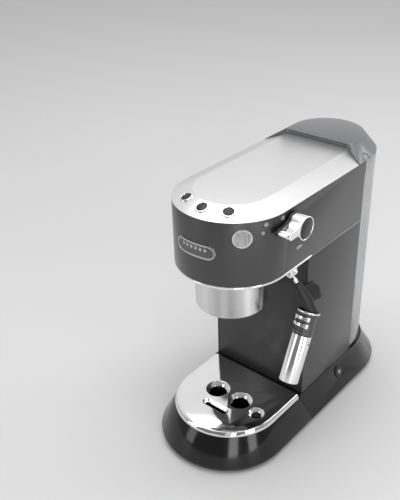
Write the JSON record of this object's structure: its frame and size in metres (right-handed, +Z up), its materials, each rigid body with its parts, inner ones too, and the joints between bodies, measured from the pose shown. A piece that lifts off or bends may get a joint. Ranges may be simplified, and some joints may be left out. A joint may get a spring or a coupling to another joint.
{
  "type": "espresso machine",
  "caption": "Slim countertop espresso machine: rounded head over a flared base with drip tray, steam wand, rear lift-out water tank and cup warmer top.",
  "frame": {"origin": "centre of the base at worktop level, on the underside of the middle foot", "axes": "+Z up, the front with the drip tray faces -Y, the steam wand and dial are on +X"},
  "size_m": [0.1574, 0.33, 0.303],
  "materials": {
    "base_shell": "gloss black moulding",
    "base_plate": "satin black sheet",
    "rubber_feet": "matt rubber",
    "base_screws": "zinc plated",
    "drip_tray": "gloss black moulding",
    "cup_plate": "polished stainless steel",
    "level_float": "dark moulding",
    "power_button": "satin black",
    "power_switch": "dark moulding",
    "cord_gland": "matt rubber",
    "inner_frame": "galvanised sheet",
    "column_front": "dark gloss panel",
    "side_panel_right": "dark grey metallic paint",
    "side_panel_left": "dark grey metallic paint",
    "rear_panel": "black moulding",
    "head_shell": "dark grey metallic paint",
    "head_trim": "polished",
    "seam_strips": "grey paint",
    "head_floor": "black moulding",
    "cup_warmer": "fine brushed, bright",
    "name_badge": "polished, blank",
    "round_badge": "printed label, blank",
    "button_rings": "polished",
    "button_left": "translucent dark",
    "button_middle": "translucent dark",
    "button_right": "translucent dark",
    "button_board": "circuit board",
    "control_board": "circuit board",
    "group_ring": "bright sleeve",
    "group_head": "cast and turned",
    "group_gasket": "black silicone",
    "shower_screen": "perforated steel",
    "shower_screw": "steel",
    "group_bolts": "steel",
    "boiler": "cast",
    "boiler_sensor": "dark phenolic",
    "relief_valve": "turned brass",
    "pump": "plated frame",
    "pump_mounts": "matt rubber",
    "flow_meter": "off-white moulding",
    "water_hoses": "silicone hose",
    "steam_tap": "turned brass",
    "steam_line": "PTFE tube",
    "dial_ring": "gloss black",
    "dial_spindle": "turned brass",
    "dial_base": "gloss black",
    "dial_lever": "polished",
    "dial_cap": "gloss black",
    "wand_socket": "turned brass",
    "wand_swivel": "polished",
    "wand_pin": "steel",
    "wand_pipe": "polished",
    "wand_grip": "satin black rubber",
    "frother_collar": "dark grey",
    "selector_ring": "polished",
    "frother_nozzle": "grey moulding",
    "frother_sleeve": "polished stainless steel",
    "water_tank": "smoked clear plastic",
    "tank_seat": "black moulding",
    "tank_lid": "grey metallic moulding"
  },
  "bodies": {
    "machine": {"base_shell": "base_shell", "base_plate": "base_plate", "rubber_feet": "rubber_feet", "base_screws": "base_screws", "power_switch": "power_switch", "cord_gland": "cord_gland", "inner_frame": "inner_frame", "column_front": "column_front", "side_panel_right": "side_panel_right", "side_panel_left": "side_panel_left", "rear_panel": "rear_panel", "head_shell": "head_shell", "head_trim": "head_trim", "seam_strips": "seam_strips", "head_floor": "head_floor", "cup_warmer": "cup_warmer", "name_badge": "name_badge", "round_badge": "round_badge", "button_rings": "button_rings", "button_board": "button_board", "control_board": "control_board", "group_ring": "group_ring", "group_head": "group_head", "group_gasket": "group_gasket", "shower_screen": "shower_screen", "shower_screw": "shower_screw", "group_bolts": "group_bolts", "boiler": "boiler", "boiler_sensor": "boiler_sensor", "relief_valve": "relief_valve", "pump": "pump", "pump_mounts": "pump_mounts", "flow_meter": "flow_meter", "water_hoses": "water_hoses", "steam_tap": "steam_tap", "steam_line": "steam_line", "dial_ring": "dial_ring", "wand_socket": "wand_socket", "tank_seat": "tank_seat"},
    "drip_tray": {"drip_tray": "drip_tray"},
    "cup_plate": {"cup_plate": "cup_plate"},
    "level_float": {"level_float": "level_float"},
    "power_button": {"power_button": "power_button"},
    "button_left": {"button_left": "button_left"},
    "button_middle": {"button_middle": "button_middle"},
    "button_right": {"button_right": "button_right"},
    "steam_dial": {"dial_spindle": "dial_spindle", "dial_base": "dial_base", "dial_lever": "dial_lever", "dial_cap": "dial_cap"},
    "wand_swivel": {"wand_swivel": "wand_swivel", "wand_pin": "wand_pin"},
    "steam_wand": {"wand_pipe": "wand_pipe", "wand_grip": "wand_grip", "frother_collar": "frother_collar", "frother_nozzle": "frother_nozzle"},
    "selector_ring": {"selector_ring": "selector_ring"},
    "frother_sleeve": {"frother_sleeve": "frother_sleeve"},
    "water_tank": {"water_tank": "water_tank"},
    "tank_lid": {"tank_lid": "tank_lid"}
  },
  "joints": [
    {"name": "tray_slide", "type": "slide", "parent": "machine", "child": "drip_tray", "axis": [0, -1, 0], "range_m": [0, 0.11]},
    {"name": "plate_lift", "type": "slide", "parent": "drip_tray", "child": "cup_plate", "axis": [0, 0, 1], "range_m": [0, 0.03]},
    {"name": "float_rise", "type": "slide", "parent": "drip_tray", "child": "level_float", "axis": [0, 0, 1], "range_m": [0, 0.006]},
    {"name": "power_button_press", "type": "slide", "parent": "machine", "child": "power_button", "axis": [-0.9125, 0, -0.4091], "range_m": [0, 0.0012], "stiffness_N_per_m": 800},
    {"name": "button_left_press", "type": "slide", "parent": "machine", "child": "button_left", "axis": [0.1913, 0.3002, -0.9345], "range_m": [0, 0.0012], "stiffness_N_per_m": 800},
    {"name": "button_middle_press", "type": "slide", "parent": "machine", "child": "button_middle", "axis": [0, 0.356, -0.9345], "range_m": [0, 0.0012], "stiffness_N_per_m": 800},
    {"name": "button_right_press", "type": "slide", "parent": "machine", "child": "button_right", "axis": [-0.1913, 0.3002, -0.9345], "range_m": [0, 0.0012], "stiffness_N_per_m": 800},
    {"name": "dial_turn", "type": "hinge", "parent": "machine", "child": "steam_dial", "pos_m": [0.061, -0.066, 0.273], "axis": [1, 0, 0], "range_deg": [0, 115]},
    {"name": "wand_swing", "type": "hinge", "parent": "machine", "child": "wand_swivel", "pos_m": [0.055, -0.052, 0.209], "axis": [0, 0, 1], "range_deg": [-45, 6]},
    {"name": "wand_tilt", "type": "hinge", "parent": "wand_swivel", "child": "steam_wand", "pos_m": [0.055, -0.052, 0.209], "axis": [0, -1, 0], "range_deg": [0, 30]},
    {"name": "selector_slide", "type": "slide", "parent": "steam_wand", "child": "selector_ring", "axis": [0, -0.4226, -0.9063], "range_m": [0, 0.0035]},
    {"name": "sleeve_pull", "type": "slide", "parent": "steam_wand", "child": "frother_sleeve", "axis": [0, -0.4226, -0.9063], "range_m": [0, 0.036]},
    {"name": "tank_lift", "type": "slide", "parent": "machine", "child": "water_tank", "axis": [0, 0, 1], "range_m": [0, 0.06]},
    {"name": "lid_open", "type": "hinge", "parent": "water_tank", "child": "tank_lid", "pos_m": [0, 0.1365, 0.2857], "axis": [-1, 0, 0], "range_deg": [0, 70]}
  ]
}
